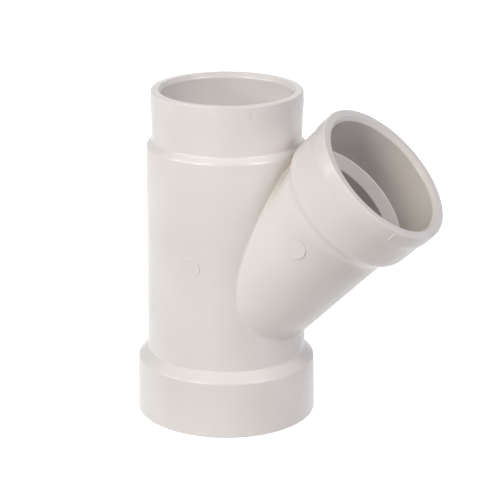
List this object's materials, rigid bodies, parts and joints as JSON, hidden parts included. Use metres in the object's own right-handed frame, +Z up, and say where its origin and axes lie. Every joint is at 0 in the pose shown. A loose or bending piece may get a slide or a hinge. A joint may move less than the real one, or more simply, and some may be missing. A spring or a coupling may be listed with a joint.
{
  "type": "reducing wye",
  "caption": "Moulded white PVC reducing wye for drain pipe: a straight run with a large lower socket and a smaller upper one, and a smaller branch socket at 45 degrees.",
  "frame": {"origin": "on the floor under the middle of the fitting's bounding box; the run's axis is vertical at x = -25.0 mm, y = 0", "axes": "+Z up the run from the large outlet hub to the smaller inlet hub, +X the way the branch leans, Y across the fitting's plane of symmetry"},
  "size_m": [0.1178, 0.0676, 0.1247],
  "materials": {
    "white_pvc": "satin moulded white PVC"
  },
  "bodies": {
    "root": {"wye_fitting": "white_pvc"}
  },
  "joints": []
}
